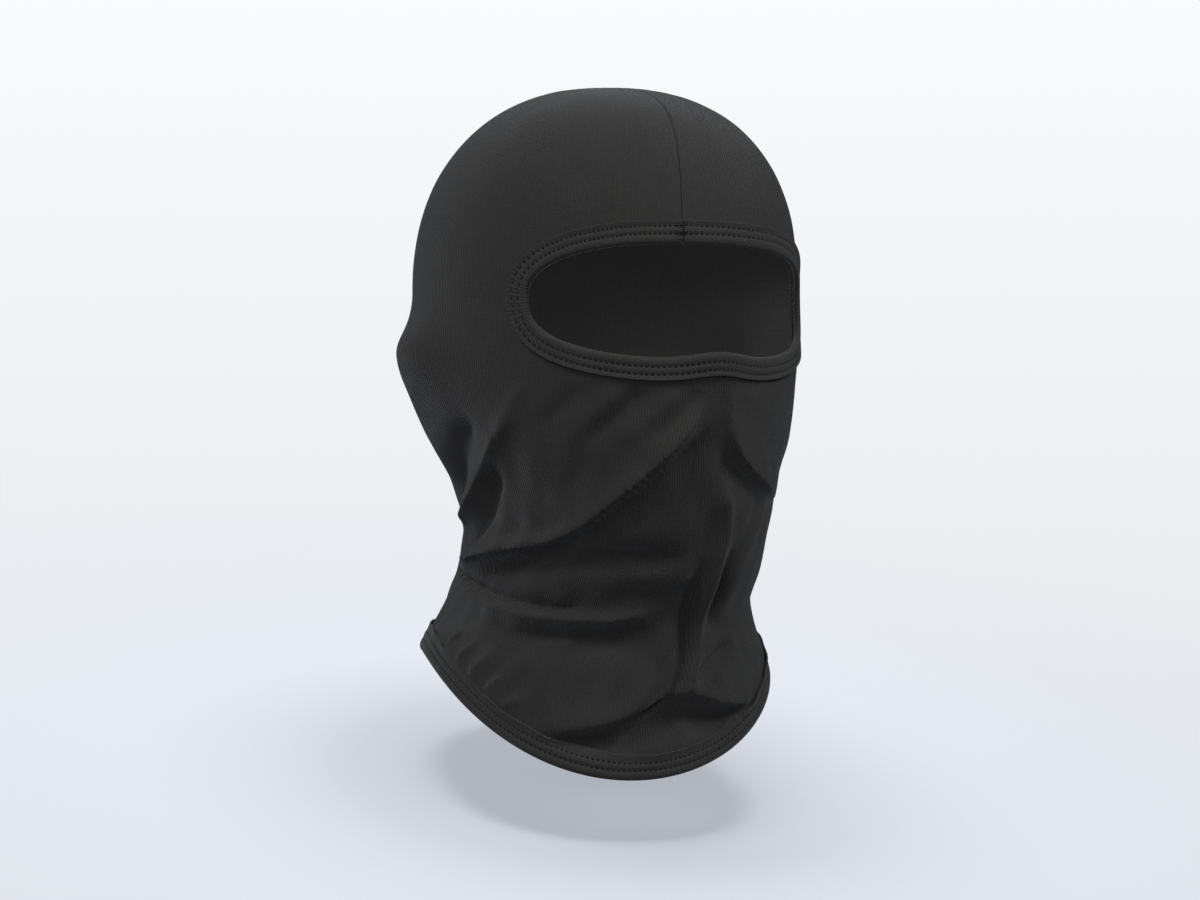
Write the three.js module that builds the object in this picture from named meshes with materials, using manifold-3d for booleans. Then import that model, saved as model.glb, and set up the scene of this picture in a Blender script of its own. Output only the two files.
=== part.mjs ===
// A stretch-knit balaclava in the shape it has when worn: one fabric panel closed by a seam that runs from
// the eye opening over the crown and down the back, with bound edges at the eye opening and at the hem.
// Millimetres, +Z up, the face looks along -Y and the wearer's left is +X. The origin is the point under the
// crown where the top of the head touches the fabric.
import * as THREE from "three";
import { mergeVertices } from "three/addons/utils/BufferGeometryUtils.js";
import Module from "manifold-3d";

const wasm = await Module();
wasm.setup();

// ---- Fabric, thread and clearances ----
const fabric = 0.8; // thickness of the knit
const clearance = 0.65; // between a binding's leaves and the panel's edge inside it
const threadWidth = 0.5;
const threadGap = 0.3; // between a thread and the cloth that it lies on
const looperGap = 0.9; // the same for a thread that crosses from row to row in straight runs
const seamGap = 0.4; // between the panel's two edges in the seam

// ---- The worn shape. A drop is a height below the top of the head ----
const headHalfWidth = 81;
const headHalfDepth = 97;
const crownDrop = 88; // down to where the dome of the head ends
const crownPower = 2.0; // of the dome at the back: 2 is a plain ellipsoid, more is squarer
const foreheadPower = 2.6; // the same at the front
const earDrop = 117;
const earTurn = THREE.MathUtils.degToRad(104);
const earBulge = 10;
const noseDrop = 118;
const noseBulge = 4;
const neckDrop = 226; // down to the narrowest ring
const neckHalfWidth = 63;
const neckHalfDepth = 81;
const hemHalfWidth = 88;
const hemHalfDepth = 88;
const collarLength = 22; // from the narrowest ring to the hem at the shoulders and the back
const bibLength = 47; // how much lower the hem hangs in front
const bibReach = THREE.MathUtils.degToRad(100); // how far round from its lowest point the hem hangs lower
const bibTurn = THREE.MathUtils.degToRad(-13); // the cloth is worn a little turned, so this is that point

// ---- Eye opening, to its finished edge ----
const eyeDrop = 95;
const eyeHalfHeight = 24;
const eyeHalfArc = 84; // along the fabric, from the middle to one end
const eyePower = 2.5; // 2 is a plain oval, more has squarer ends
const eyeNoseRise = 3; // the lower edge rises over the nose

// ---- Bindings, stitching and the seam ----
const eyeBindingWidth = 9;
const hemBindingWidth = 10;
const firstRow = 3.7; // from the finished edge to the first needle row
const needleGauge = 3.2; // between the two needle rows
const allowanceWidth = 5; // of the seam's two turned-in edges
const seamRow = 2.5; // from the panel's inner face to the seam's needle thread
const jointGap = 0.6; // between the two ends of a binding
const tackLength = 7.5;
const tackWidth = 1.8;

// ---- How finely the curves are divided ----
const columns = 48;
const crownRows = 8;
const lowerRows = 14;
const edgeSteps = 56;

const sideLength = neckDrop + collarLength;
const frontLength = sideLength + bibLength;
const downNeck = (share) => crownDrop + share * (neckDrop - crownDrop);

// Sections of the worn shape from the dome down: half width, half depth, how far the middle sits forward.
const sections = [
  { drop: crownDrop, halfWidth: headHalfWidth, halfDepth: headHalfDepth, forward: 4 },
  { drop: downNeck(0.22), halfWidth: headHalfWidth - 1, halfDepth: headHalfDepth + 1, forward: 5 },
  { drop: downNeck(0.45), halfWidth: headHalfWidth - 6, halfDepth: headHalfDepth - 1, forward: 6 },
  { drop: downNeck(0.61), halfWidth: neckHalfWidth + 4, halfDepth: neckHalfDepth + 5, forward: 12 },
  { drop: downNeck(0.74), halfWidth: neckHalfWidth, halfDepth: neckHalfDepth - 2, forward: 15 },
  { drop: downNeck(0.87), halfWidth: neckHalfWidth - 1, halfDepth: neckHalfDepth - 1, forward: 9 },
  { drop: neckDrop, halfWidth: neckHalfWidth, halfDepth: neckHalfDepth, forward: -2 },
  { drop: sideLength, halfWidth: neckHalfWidth + 11, halfDepth: neckHalfDepth + 3, forward: -7 },
  { drop: frontLength, halfWidth: hemHalfWidth, halfDepth: hemHalfDepth, forward: -12 },
];

// The value of one kind at a drop, on a smooth curve through the sections.
function through(kind, drop) {
  const last = sections.length - 1;
  let i = 0;
  while (i < last - 1 && drop > sections[i + 1].drop) i += 1;
  const slope = (k) => {
    const before = sections[Math.max(k - 1, 0)];
    const after = sections[Math.min(k + 1, last)];
    return (after[kind] - before[kind]) / (after.drop - before.drop);
  };
  const [a, b] = [sections[i], sections[i + 1]];
  const span = b.drop - a.drop;
  const t = (drop - a.drop) / span;
  const ease = t * t * (3 - 2 * t);
  const tangents = t * (1 - t) * ((1 - t) * slope(i) - t * slope(i + 1)) * span;
  return a[kind] + (b[kind] - a[kind]) * ease + tangents;
}

function sectionAt(turn, drop) {
  if (drop >= crownDrop)
    return {
      halfWidth: through("halfWidth", drop),
      halfDepth: through("halfDepth", drop),
      forward: through("forward", drop),
    };
  const up = (crownDrop - drop) / crownDrop;
  const power = crownPower + ((foreheadPower - crownPower) * (1 + Math.cos(turn))) / 2;
  const size = Math.pow(Math.max(0, 1 - Math.pow(up, power)), 1 / power);
  return {
    halfWidth: headHalfWidth * size,
    halfDepth: headHalfDepth * size,
    forward: sections[0].forward * (1 - up * up),
  };
}

const bell = (x) => Math.exp(-x * x);
const wrap = (turn) => Math.atan2(Math.sin(turn), Math.cos(turn));

// How far the ears and the nose push the fabric out.
function bulgeAt(turn, drop) {
  const earHeight = drop < earDrop ? bell((drop - earDrop) / 15) : bell((drop - earDrop) / 26);
  const ear = earBulge * earHeight * bell((Math.abs(wrap(turn)) - earTurn) / 0.3);
  const nose = noseBulge * bell((drop - noseDrop) / 20) * bell(wrap(turn) / 0.22);
  return ear + nose;
}

// The fabric's outer face. A turn is 0 at the front and grows towards the wearer's left.
function skin(turn, drop) {
  const { halfWidth, halfDepth, forward } = sectionAt(turn, drop);
  const out = new THREE.Vector2(halfWidth * Math.sin(turn), -halfDepth * Math.cos(turn));
  const length = out.length();
  if (length > 1) out.multiplyScalar(1 + bulgeAt(turn, drop) / length);
  return new THREE.Vector3(out.x, out.y - forward, fabric - drop);
}

function skinNormal(turn, drop) {
  if (drop < 0.01) return new THREE.Vector3(0, 0, 1);
  const step = Math.min(0.2, drop / 2);
  const along = skin(turn + 0.003, drop).sub(skin(turn - 0.003, drop));
  const down = skin(turn, drop + step).sub(skin(turn, drop - step));
  return down.cross(along).normalize();
}

// A point at a height above the outer face. Heights below the face are negative.
function onSkin(turn, drop, height) {
  return skin(turn, drop).addScaledVector(skinNormal(turn, drop), height);
}

function hemDrop(turn) {
  const around = Math.abs(wrap(turn - bibTurn));
  const share = around < bibReach ? (1 + Math.cos((Math.PI * around) / bibReach)) / 2 : 0;
  return sideLength + (frontLength - sideLength) * share;
}

// ---- Turning points into solids ----
function geometryOf(points, triangles) {
  const geometry = new THREE.BufferGeometry();
  geometry.setAttribute("position", new THREE.Float32BufferAttribute(points.flatMap((p) => p.toArray()), 3));
  geometry.setIndex(triangles.flat());
  return geometry;
}

function solidOf(geometry) {
  const plain = geometry.clone();
  plain.deleteAttribute("normal");
  plain.deleteAttribute("uv");
  const merged = mergeVertices(plain, 1e-4);
  return new wasm.Manifold(
    new wasm.Mesh({
      numProp: 3,
      vertProperties: new Float32Array(merged.attributes.position.array),
      triVerts: new Uint32Array(merged.index.array),
    }),
  );
}

function geometryOfSolid(solid) {
  const mesh = solid.getMesh();
  const geometry = new THREE.BufferGeometry();
  geometry.setAttribute("position", new THREE.BufferAttribute(mesh.vertProperties, 3));
  geometry.setIndex(new THREE.BufferAttribute(mesh.triVerts, 1));
  return geometry;
}

function boxSolid(low, high) {
  const size = high.map((value, k) => value - low[k]);
  const middle = high.map((value, k) => (value + low[k]) / 2);
  return solidOf(new THREE.BoxGeometry(...size).translate(...middle));
}

// Turns the faces round where they point inwards.
function outwards(geometry) {
  const at = (k) => new THREE.Vector3().fromBufferAttribute(geometry.attributes.position, k);
  const index = geometry.index.array;
  let volume = 0;
  for (let i = 0; i < index.length; i += 3) {
    volume += at(index[i]).dot(at(index[i + 1]).cross(at(index[i + 2])));
  }
  if (volume > 0) return geometry;
  for (let i = 0; i < index.length; i += 3) [index[i + 1], index[i + 2]] = [index[i + 2], index[i + 1]];
  return geometry;
}

// A bar of one outline along a route. put(place, corner) gives the outline's corner at a place of the route.
function sweep(places, outline, put) {
  const rings = places.map((place) => outline.map((corner) => put(place, corner)));
  const count = outline.length;
  const triangles = [];
  for (let r = 0; r < rings.length - 1; r += 1) {
    for (let k = 0; k < count; k += 1) {
      const next = (k + 1) % count;
      triangles.push([r * count + k, (r + 1) * count + k, (r + 1) * count + next]);
      triangles.push([r * count + k, (r + 1) * count + next, r * count + next]);
    }
  }
  const end = (rings.length - 1) * count;
  THREE.ShapeUtils.triangulateShape(outline.map((corner) => new THREE.Vector2(...corner)), []).forEach(
    ([a, b, c]) => {
      triangles.push([a, b, c]);
      triangles.push([end + a, end + c, end + b]);
    },
  );
  return outwards(geometryOf(rings.flat(), triangles));
}

// A thread's outline around a place, given as its distance across the route and its height.
function threadOutline(across, height) {
  const half = threadWidth / 2;
  return [
    [across - half, height],
    [across, height - half],
    [across + half, height],
    [across, height + half],
  ];
}

// ---- A layer over the whole head, between two heights and down to a distance above the finished hem ----
// Columns stand closer together at the face than at the back. The last row but one lies where the hem binding
// begins, so that the facets of both lie parallel.
const columnTurns = Array.from({ length: columns }, (_, k) => {
  const even = (2 * Math.PI * k) / columns;
  return wrap(even - 0.35 * Math.sin(even));
});

function rowDrops(turn, edgeUp) {
  const dome = Array.from({ length: crownRows }, (_, k) => {
    return crownDrop * (1 - Math.cos(((k + 1) / crownRows) * (Math.PI / 2)));
  });
  const bound = hemDrop(turn) - Math.max(hemBindingWidth, edgeUp);
  const lower = Array.from({ length: lowerRows }, (_, k) => {
    return crownDrop + ((k + 1) / lowerRows) * (bound - crownDrop);
  });
  return edgeUp < hemBindingWidth ? [...dome, ...lower, hemDrop(turn) - edgeUp] : [...dome, ...lower];
}

function layer(outerHeight, innerHeight, edgeUp) {
  const drops = columnTurns.map((turn) => rowDrops(turn, edgeUp));
  const face = (height) =>
    drops[0].map((_, row) => columnTurns.map((turn, k) => onSkin(turn, drops[k][row], height)));
  const rings = [...face(outerHeight), ...face(innerHeight).reverse()];
  const points = [onSkin(0, 0, outerHeight), ...rings.flat(), onSkin(0, 0, innerHeight)];
  const at = (ring, k) => 1 + ring * columns + (k % columns);
  const triangles = [];
  for (let k = 0; k < columns; k += 1) {
    triangles.push([0, at(0, k), at(0, k + 1)]);
    triangles.push([points.length - 1, at(rings.length - 1, k + 1), at(rings.length - 1, k)]);
    for (let r = 0; r < rings.length - 1; r += 1) {
      triangles.push([at(r, k), at(r + 1, k), at(r + 1, k + 1)]);
      triangles.push([at(r, k), at(r + 1, k + 1), at(r, k + 1)]);
    }
  }
  return solidOf(outwards(geometryOf(points, triangles)));
}

// ---- The eye opening's outline, drawn on the fabric as if it lay flat ----
const arcPerTurn = (headHalfWidth + headHalfDepth) / 2;

// The angle is 0 over the nose.
function eyeOutline(angle) {
  const round = (value) => Math.sign(value) * Math.pow(Math.abs(value), 2 / eyePower);
  const across = -eyeHalfArc * round(Math.sin(angle));
  const down = eyeHalfHeight * round(Math.cos(angle));
  return new THREE.Vector2(across, down > 0 ? down - eyeNoseRise * bell(across / 18) : down);
}

// A place on the outline, moved away from the opening by a margin.
function eyePlace(angle, margin) {
  const along = eyeOutline(angle + 0.01).sub(eyeOutline(angle - 0.01)).normalize();
  const moved = eyeOutline(angle).add(new THREE.Vector2(along.y, -along.x).multiplyScalar(margin));
  return { turn: moved.x / arcPerTurn, drop: eyeDrop + moved.y };
}

// Angles evenly spaced along the outline, with a gap under the crown seam between the last and the first.
function eyeAngles(gap) {
  const samples = 1440;
  const angleOf = (k) => Math.PI + (2 * Math.PI * k) / samples;
  const lengths = [0];
  for (let k = 0; k < samples; k += 1) {
    lengths.push(lengths[k] + eyeOutline(angleOf(k)).distanceTo(eyeOutline(angleOf(k + 1))));
  }
  return Array.from({ length: edgeSteps + 1 }, (_, s) => {
    const target = gap / 2 + (s / edgeSteps) * (lengths[samples] - gap);
    const k = Math.min(lengths.findLastIndex((length) => length <= target), samples - 1);
    return angleOf(k + (target - lengths[k]) / (lengths[k + 1] - lengths[k]));
  });
}

// A bar through the face with the eye opening's outline, moved out by a margin.
function eyePrism(margin) {
  const corners = eyeAngles(0)
    .slice(0, -1)
    .map((angle) => eyePlace(angle, margin))
    .map(({ turn, drop }) => skin(turn, drop))
    .map(({ x, z }) => new THREE.Vector2(x, z));
  const options = { depth: 2 * headHalfDepth, bevelEnabled: false };
  return solidOf(new THREE.ExtrudeGeometry(new THREE.Shape(corners), options).rotateX(Math.PI / 2));
}

// ---- The two bound edges. A corner is its distance from the finished edge and its height ----
const eyeEdge = {
  width: eyeBindingWidth,
  places: (gap) => eyeAngles(gap).map((angle) => ({ angle })),
  put: ({ angle, shift = 0 }, [margin, height]) => {
    const { turn, drop } = eyePlace(angle, margin + shift);
    return onSkin(turn, drop, height);
  },
};

// The hem's places are the panel's own columns, so that the facets of the layers lie parallel. Its binding
// joins at the back.
const hemEdge = {
  width: hemBindingWidth,
  places: (gap) => {
    const last = Math.PI - gap / 2 / hemHalfDepth;
    const inner = columnTurns.filter((turn) => Math.abs(turn) < last).sort((a, b) => a - b);
    return [-last, ...inner, last].map((turn) => ({ turn }));
  },
  put: ({ turn, shift = 0 }, [margin, height]) => onSkin(turn, hemDrop(turn) - margin - shift, height),
};

const leafTop = clearance + fabric; // the outer leaf's outer face
const leafBottom = -fabric - clearance - fabric; // the inner leaf's inner face
const rowGap = tackWidth + 2 * threadGap; // the needle rows stop at the tack over the binding's joint

// A strip folded round the panel's edge.
function binding(edge) {
  const outline = [
    [0, leafBottom],
    [edge.width, leafBottom],
    [edge.width, leafBottom + fabric],
    [fabric, leafBottom + fabric],
    [fabric, clearance],
    [edge.width, clearance],
    [edge.width, leafTop],
    [0, leafTop],
  ];
  return sweep(edge.places(jointGap), outline, edge.put);
}

function needleRow(edge, margin) {
  const outline = threadOutline(margin, leafTop + threadGap + threadWidth / 2);
  return sweep(edge.places(rowGap), outline, edge.put);
}

// The thread inside that crosses from one needle row to the other and back.
function looperThread(edge) {
  const outline = threadOutline(firstRow, leafBottom - looperGap - threadWidth / 2);
  const places = edge.places(rowGap).map((place, k) => ({ ...place, shift: (k % 2) * needleGauge }));
  return sweep(places, outline, edge.put);
}

function jointTack(edge) {
  const start = (edge.width - tackLength) / 2;
  const outline = [
    [start, leafTop + threadGap],
    [start + tackLength, leafTop + threadGap],
    [start + tackLength, leafTop + threadGap + threadWidth],
    [start, leafTop + threadGap + threadWidth],
  ];
  const places = edge.places(tackWidth);
  return sweep([places.at(-1), places[0]], outline, edge.put);
}

// ---- The panel and its seam ----
const panelEdge = fabric + clearance; // the panel's raw edge, measured from the finished edge

// The seam's plane between two sides: above the eye opening at the front and all the way down the back.
function seamSlab(fromSide, toSide) {
  const reach = 2 * frontLength;
  const above = boxSolid([fromSide, -reach, -eyeDrop], [toSide, reach, reach]);
  return above.add(boxSolid([fromSide, 0, -reach], [toSide, reach, 0]));
}

// The seam allowances stop where the bindings' inner leaves begin.
function allowances() {
  const inner = seamGap / 2;
  const slabs = seamSlab(inner, inner + fabric).add(seamSlab(-inner - fabric, -inner));
  return layer(-fabric / 2, -fabric - allowanceWidth, hemBindingWidth + clearance)
    .intersect(slabs)
    .subtract(eyePrism(eyeBindingWidth + clearance));
}

function panel() {
  return layer(0, -fabric, panelEdge)
    .subtract(eyePrism(panelEdge))
    .add(allowances())
    .subtract(seamSlab(-seamGap / 2, seamGap / 2));
}

// The seam's route from above the eye opening over the crown and down to above the hem.
function seamPlaces() {
  const start = eyeDrop - eyeHalfHeight - eyeBindingWidth - 2 * clearance;
  const front = rowDrops(0, 0).filter((drop) => drop < start - clearance);
  const back = rowDrops(Math.PI, hemBindingWidth + 2 * clearance);
  return [
    { turn: 0, drop: start },
    ...front.reverse().map((drop) => ({ turn: 0, drop })),
    { turn: 0, drop: 0 },
    ...back.map((drop) => ({ turn: Math.PI, drop })),
  ];
}

const seamPut = ({ turn, drop, shift = 0 }, [side, height]) => {
  const point = onSkin(turn, drop, height);
  point.x += side + shift;
  return point;
};

function seamNeedleThread() {
  const side = seamGap / 2 + fabric + threadGap + threadWidth / 2;
  return sweep(seamPlaces(), threadOutline(side, -fabric - seamRow), seamPut);
}

// The thread that binds the two raw edges of the seam together.
function seamLooperThread() {
  const reach = seamGap / 2 + fabric;
  const places = seamPlaces().map((place, k) => ({ ...place, shift: k % 2 ? reach : -reach }));
  const height = -fabric - allowanceWidth - looperGap - threadWidth / 2;
  return sweep(places, threadOutline(0, height), seamPut);
}

// ---- The assembly ----
const jersey = new THREE.MeshStandardMaterial({ color: "#2b2c2f", roughness: 0.9, metalness: 0 });
const bindingJersey = new THREE.MeshStandardMaterial({ color: "#303134", roughness: 0.88, metalness: 0 });
const thread = new THREE.MeshStandardMaterial({ color: "#1d1e21", roughness: 0.75, metalness: 0 });

const balaclava = new THREE.Group();

function place(name, geometry, material) {
  const mesh = new THREE.Mesh(geometry, material);
  mesh.name = name;
  balaclava.add(mesh);
}

place("body_panel", geometryOfSolid(panel()), jersey);
place("crown_and_back_seam_needle_thread", seamNeedleThread(), thread);
place("crown_and_back_seam_looper_thread", seamLooperThread(), thread);
[
  ["eye", eyeEdge],
  ["hem", hemEdge],
].forEach(([name, edge]) => {
  place(`${name}_binding`, binding(edge), bindingJersey);
  place(`${name}_inner_needle_thread`, needleRow(edge, firstRow), thread);
  place(`${name}_outer_needle_thread`, needleRow(edge, firstRow + needleGauge), thread);
  place(`${name}_looper_thread`, looperThread(edge), thread);
  place(`${name}_joint_tack`, jointTack(edge), thread);
});

export default balaclava;
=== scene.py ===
import math

import bmesh
import bpy
import numpy as np
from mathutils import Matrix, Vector


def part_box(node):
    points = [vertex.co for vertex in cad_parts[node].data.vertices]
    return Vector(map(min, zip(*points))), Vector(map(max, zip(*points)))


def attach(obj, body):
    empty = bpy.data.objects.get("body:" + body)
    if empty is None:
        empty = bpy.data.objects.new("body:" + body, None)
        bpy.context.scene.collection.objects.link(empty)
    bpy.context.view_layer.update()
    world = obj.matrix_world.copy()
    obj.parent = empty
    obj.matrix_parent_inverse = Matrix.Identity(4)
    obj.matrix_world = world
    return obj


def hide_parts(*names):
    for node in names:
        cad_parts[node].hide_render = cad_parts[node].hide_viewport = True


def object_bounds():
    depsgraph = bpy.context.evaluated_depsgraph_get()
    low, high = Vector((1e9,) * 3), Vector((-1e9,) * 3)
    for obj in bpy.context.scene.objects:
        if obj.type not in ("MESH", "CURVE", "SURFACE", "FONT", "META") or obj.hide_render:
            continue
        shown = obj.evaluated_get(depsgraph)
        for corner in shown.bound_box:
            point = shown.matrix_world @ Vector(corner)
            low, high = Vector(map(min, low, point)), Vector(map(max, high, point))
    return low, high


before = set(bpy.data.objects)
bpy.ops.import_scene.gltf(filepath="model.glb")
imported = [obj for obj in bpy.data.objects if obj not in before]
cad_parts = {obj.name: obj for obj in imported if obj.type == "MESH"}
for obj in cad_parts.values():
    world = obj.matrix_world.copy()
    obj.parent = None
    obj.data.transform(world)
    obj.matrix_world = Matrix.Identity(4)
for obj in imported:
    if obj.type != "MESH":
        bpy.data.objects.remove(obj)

cad_low, cad_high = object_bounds()

# ==== Body panel ====
# One piece of thin black polyester and elastane jersey that wraps the whole head and neck. Its two long
# edges meet in one overlocked seam, from the eye opening over the crown and down the back. It is worn:
# stretched smooth over the skull, slack and folded from the cheeks to the hem. Lengths are in millimetres.
MM = 0.001
panel_low, panel_high = (np.array(corner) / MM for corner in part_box("body_panel"))
crown = panel_high[2]
head_half_width = 81.0
head_half_depth = 97.0
dome_drop = 88.0
back_power = 2.0
forehead_power = 2.6
cut_edge = 1.45
narrow_drop = 226.0
side_drop = 248.0
front_drop = crown - panel_low[2] + cut_edge
hem_radius = 88.0
bib_turn = math.radians(-13)
bib_reach = math.radians(100)

# The worn shape below the dome: each ring's drop under the crown, half width, half depth, and how far
# forward its middle lies. The panel's cut edge lies a little inside each finished edge.
rings = np.array([
    (dome_drop, head_half_width, head_half_depth, 4.0),
    (118.4, head_half_width - 1, head_half_depth + 1, 5.0),
    (150.1, head_half_width - 6, head_half_depth - 1, 6.0),
    (172.2, 67.0, 86.0, 12.0),
    (190.1, 63.0, 79.0, 15.0),
    (208.1, 62.0, 80.0, 9.0),
    (narrow_drop, 63.0, 81.0, -2.0),
    (side_drop, 74.0, 84.0, -7.0),
    (front_drop, hem_radius, hem_radius, -12.0),
])


def along_rings(column, drop):
    last = len(rings) - 1
    before = rings[np.clip(np.arange(last + 1) - 1, 0, last)]
    after = rings[np.clip(np.arange(last + 1) + 1, 0, last)]
    slope = (after[:, column] - before[:, column]) / (after[:, 0] - before[:, 0])
    i = np.clip(np.searchsorted(rings[:, 0], drop) - 1, 0, last - 1)
    span = rings[i + 1, 0] - rings[i, 0]
    t = (drop - rings[i, 0]) / span
    ease = t * t * (3 - 2 * t)
    tangents = t * (1 - t) * ((1 - t) * slope[i] - t * slope[i + 1]) * span
    return rings[i, column] * (1 - ease) + rings[i + 1, column] * ease + tangents


def ring_at(turn, drop):
    below = [along_rings(column, np.maximum(drop, dome_drop)) for column in (1, 2, 3)]
    up = np.clip((dome_drop - drop) / dome_drop, 0, 1)
    power = back_power + (forehead_power - back_power) * (1 + np.cos(turn)) / 2
    size = np.maximum(0, 1 - up ** power) ** (1 / power)
    dome = [head_half_width * size, head_half_depth * size, rings[0, 3] * (1 - up * up)]
    return [np.where(drop >= dome_drop, low, high) for low, high in zip(below, dome)]


def bell(x):
    return np.exp(-x * x)


def wrapped(turn):
    return np.arctan2(np.sin(turn), np.cos(turn))


def head_bulge(turn, drop):
    ear_height = np.where(drop < 117, bell((drop - 117) / 15), bell((drop - 117) / 26))
    ear = 10 * ear_height * bell((np.abs(wrapped(turn)) - math.radians(104)) / 0.3)
    nose = 4 * bell((drop - 118) / 20) * bell(wrapped(turn) / 0.22)
    return ear + nose


# The smooth worn surface. A turn is 0 at the front and grows towards the wearer's left.
def skin(turn, drop):
    half_width, half_depth, forward = ring_at(turn, drop)
    x = half_width * np.sin(turn)
    y = -half_depth * np.cos(turn)
    reach = np.maximum(np.hypot(x, y), 1e-6)
    grow = np.where(reach > 1, 1 + head_bulge(turn, drop) / reach, 1)
    return np.stack([x * grow, y * grow - forward, crown - drop], -1)


# Unit vectors on that surface: towards the wearer's left, down, and out.
def skin_axes(turn, drop):
    drop = np.maximum(drop, 0.3)
    step = 0.15
    left = skin(turn + 0.003, drop) - skin(turn - 0.003, drop)
    down = skin(turn, drop + step) - skin(turn, drop - step)
    left /= np.linalg.norm(left, axis=-1, keepdims=True)
    down /= np.linalg.norm(down, axis=-1, keepdims=True)
    out = np.cross(down, left)
    return left, down, out / np.linalg.norm(out, axis=-1, keepdims=True)


def hem_drop(turn):
    around = np.abs(wrapped(turn - bib_turn))
    share = np.where(around < bib_reach, (1 + np.cos(math.pi * around / bib_reach)) / 2, 0)
    return side_drop + (front_drop - side_drop) * share


# Opened flat, a place on the cloth lies this radius times its turn across from the middle of the face.
FLAT_RADIUS = 82.0


def smooth_path(points, count):
    points = np.array(points, float)
    points = np.vstack([2 * points[0] - points[1], points, 2 * points[-1] - points[-2]])
    spans = len(points) - 3
    at = np.linspace(0, spans, count)
    i = np.minimum(at.astype(int), spans - 1)
    t = (at - i)[:, None]
    a, b, c, d = points[i], points[i + 1], points[i + 2], points[i + 3]
    bend = (2 * a - 5 * b + 4 * c - d) * t * t
    turn_over = (3 * b - a - 3 * c + d) * t ** 3
    return 0.5 * (2 * b + (c - a) * t + bend + turn_over)


PATH_POINTS = 60


# A fold runs along a path of (turn in degrees, drop). On a path that goes down, near is the side towards
# the wearer's right; on a path that goes towards the wearer's right, near is above. The crest stands out by
# a height, falls away over a width on each side, and may lean over. A hollow has a negative crest.
def fold(spread, path, crest, near, far, lean=0.0, peak=1.7, ends=0.25):
    across, drop, height, shift = spread
    line = smooth_path(path, PATH_POINTS)
    line[:, 0] = np.radians(line[:, 0]) * FLAT_RADIUS
    course = np.gradient(line, axis=0)
    course /= np.linalg.norm(course, axis=1, keepdims=True)
    reach = 3.2 * max(near, far)
    low = line.min(axis=0) - reach
    high = line.max(axis=0) + reach
    close = (across > low[0]) & (across < high[0]) & (drop > low[1]) & (drop < high[1])
    spots = np.stack([across[close], drop[close]], -1)
    if len(spots) == 0:
        return
    gaps = spots[:, None, :] - line[None, :, :]
    nearest = np.argmin((gaps ** 2).sum(-1), axis=1)
    gap = gaps[np.arange(len(spots)), nearest]
    way = course[nearest]
    side = gap[:, 0] * way[:, 1] - gap[:, 1] * way[:, 0]
    beyond = np.abs((gap * way).sum(-1))
    place = nearest / (PATH_POINTS - 1)
    taper = np.clip(np.minimum(place, 1 - place) / ends, 0, 1)
    taper = taper * taper * (3 - 2 * taper)
    width = np.where(side > 0, far, near)
    shape = np.exp(-np.abs(side / width) ** peak) * taper * bell(beyond / width)
    height[close] += crest * shape
    shift[close, 0] += lean * shape * way[:, 1]
    shift[close, 1] -= lean * shape * way[:, 0]


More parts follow.
